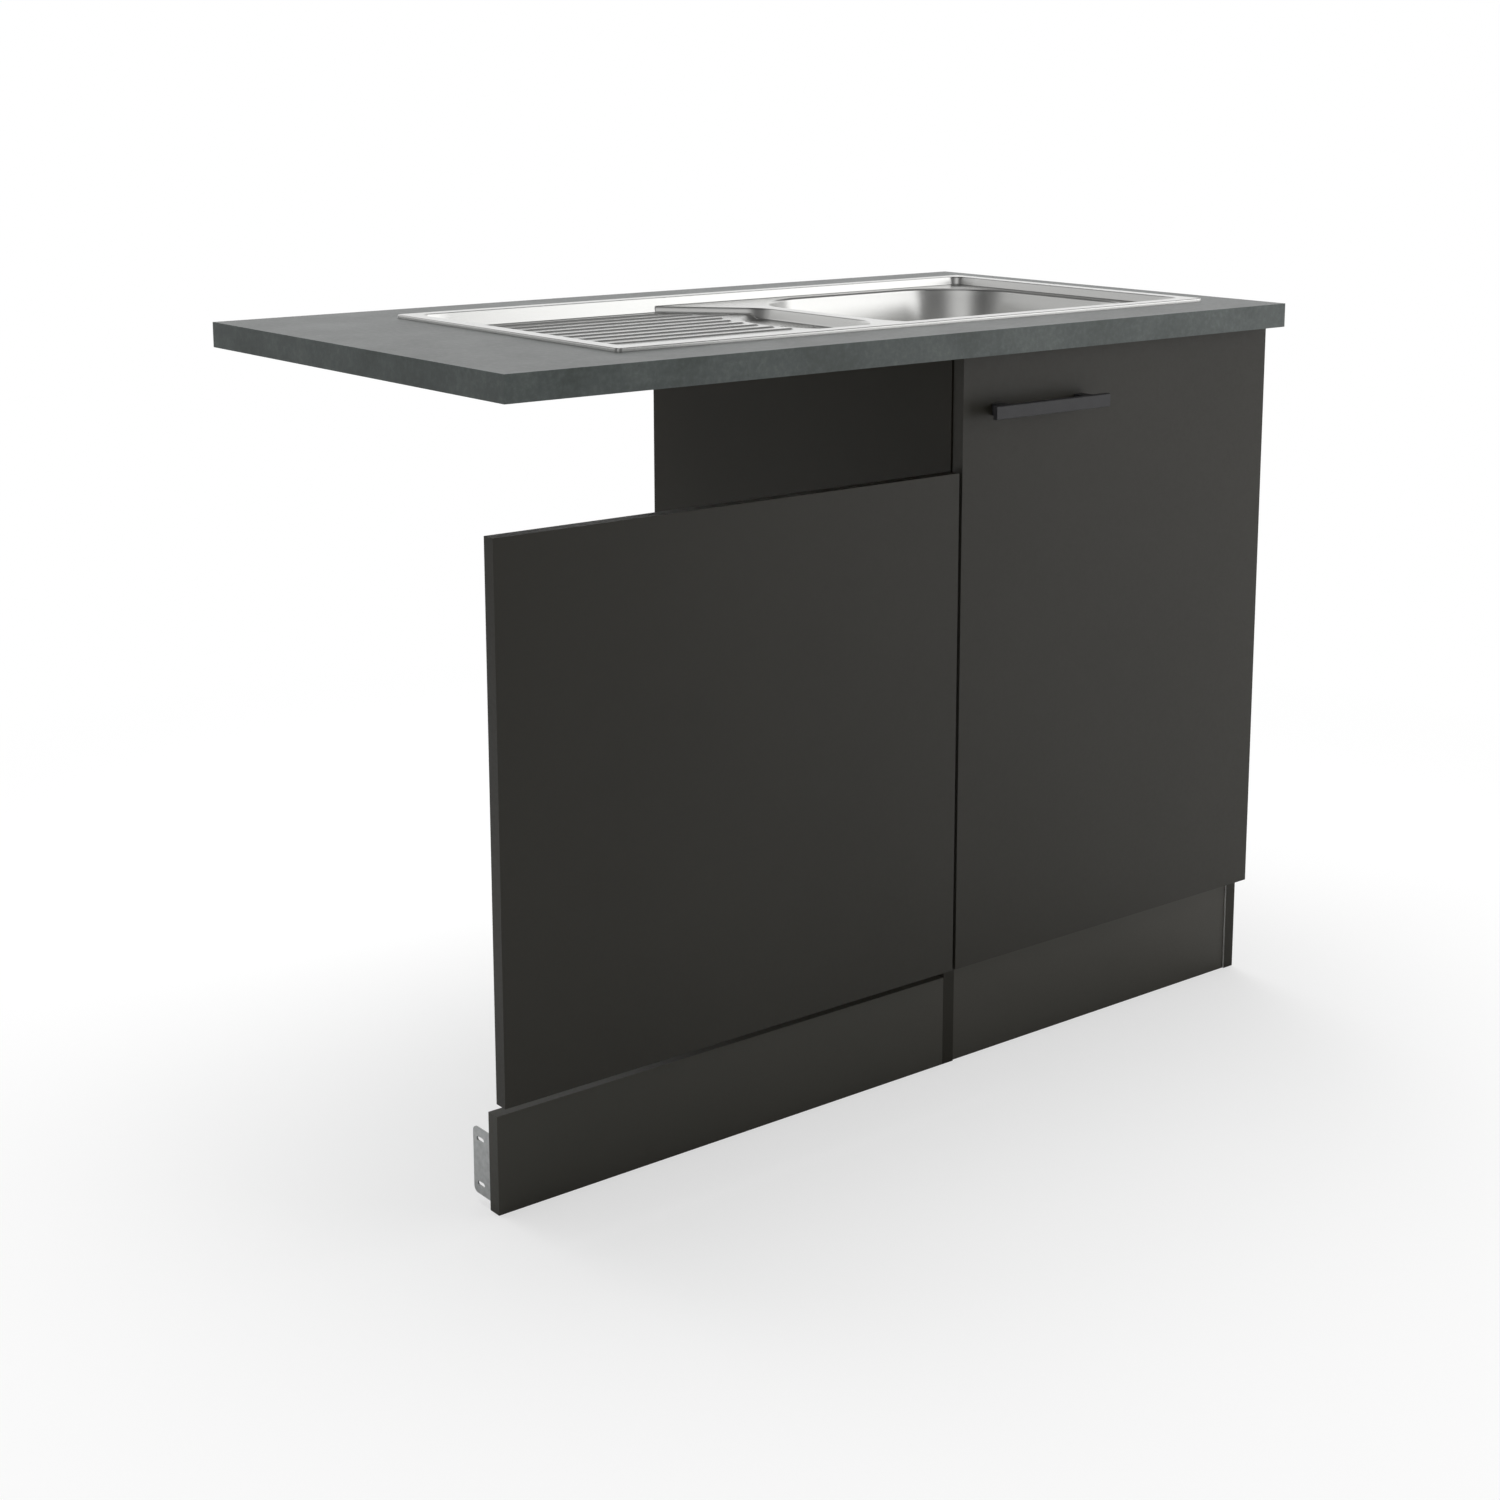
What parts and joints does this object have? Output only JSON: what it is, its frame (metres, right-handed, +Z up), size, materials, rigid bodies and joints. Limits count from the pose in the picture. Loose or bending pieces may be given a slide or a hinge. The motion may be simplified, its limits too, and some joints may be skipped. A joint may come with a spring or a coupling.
{
  "type": "kitchen sink unit",
  "caption": "Sink base cabinet and open dishwasher niche under one worktop, with an inset steel sink and drainer, a hinged door and a loose appliance front.",
  "frame": {"origin": "on the floor under the middle of the worktop", "axes": "+X to the right along the front, +Y back to the wall, +Z up"},
  "size_m": [1.1, 0.6, 0.852],
  "materials": {
    "front_board": "matt dark umber-grey melamine on chipboard",
    "carcass_board": "matt dark umber-grey melamine on chipboard",
    "plinth_board": "matt dark umber-grey melamine on chipboard",
    "worktop_laminate": "satin concrete-look laminate on chipboard",
    "worktop_edging": "satin concrete-look edging strip",
    "stainless_steel": "satin stainless steel",
    "galvanised_steel": "galvanised",
    "nickel_steel": "nickel-plated",
    "anthracite_metal": "satin anthracite powder coat",
    "black_rubber": "soft black rubber",
    "white_plastic": "moulded polypropylene",
    "clear_plastic": "soft translucent bumper"
  },
  "bodies": {
    "unit": {"carcass_bottom": "carcass_board", "carcass_side_left": "carcass_board", "carcass_side_right": "carcass_board", "door_buffer_lower": "clear_plastic", "door_buffer_upper": "clear_plastic", "hinge_arm_lower": "nickel_steel", "hinge_arm_upper": "nickel_steel", "hinge_plate_lower": "nickel_steel", "hinge_plate_upper": "nickel_steel", "low_rail_back": "carcass_board", "overflow_housing": "white_plastic", "overflow_plate": "stainless_steel", "plinth_bracket_left": "galvanised_steel", "plinth_bracket_right": "galvanised_steel", "plinth_cabinet": "plinth_board", "plinth_niche": "plinth_board", "plinth_screw_left": "galvanised_steel", "plinth_screw_right": "galvanised_steel", "sink": "stainless_steel", "sink_clamp_back_left": "galvanised_steel", "sink_clamp_back_middle": "galvanised_steel", "sink_clamp_back_right": "galvanised_steel", "sink_clamp_front_left": "galvanised_steel", "sink_clamp_front_middle": "galvanised_steel", "sink_clamp_front_right": "galvanised_steel", "sink_seal": "black_rubber", "top_rail_back": "carcass_board", "top_rail_front": "carcass_board", "waste_body": "white_plastic", "waste_flange": "stainless_steel", "waste_gasket": "black_rubber", "worktop": "worktop_laminate", "worktop_angle_back_left": "galvanised_steel", "worktop_angle_back_right": "galvanised_steel", "worktop_angle_front_left": "galvanised_steel", "worktop_angle_front_right": "galvanised_steel", "worktop_edging_front": "worktop_edging", "worktop_edging_left": "worktop_edging", "worktop_edging_right": "worktop_edging"},
    "door": {"door": "front_board", "handle_bar": "anthracite_metal", "handle_leg_left": "anthracite_metal", "handle_leg_right": "anthracite_metal", "handle_screw_left": "galvanised_steel", "handle_screw_right": "galvanised_steel", "hinge_cup_lower": "nickel_steel", "hinge_cup_upper": "nickel_steel"},
    "dishwasher_front": {"dishwasher_front": "front_board"},
    "strainer_basket": {"strainer_basket": "stainless_steel"}
  },
  "joints": [
    {"name": "door_hinge", "type": "hinge", "parent": "unit", "child": "door", "pos_m": [0.5485, -0.273, 0.46825], "axis": [0, 0, 1], "range_deg": [0, 100]},
    {"name": "dishwasher_front_hinge", "type": "hinge", "parent": "unit", "child": "dishwasher_front", "pos_m": [-0.251, -0.24, 0.1595], "axis": [1, 0, 0], "range_deg": [0, 90]},
    {"name": "strainer_basket_lift", "type": "slide", "parent": "unit", "child": "strainer_basket", "axis": [0, 0, 1], "range_m": [0, 0.08]}
  ]
}
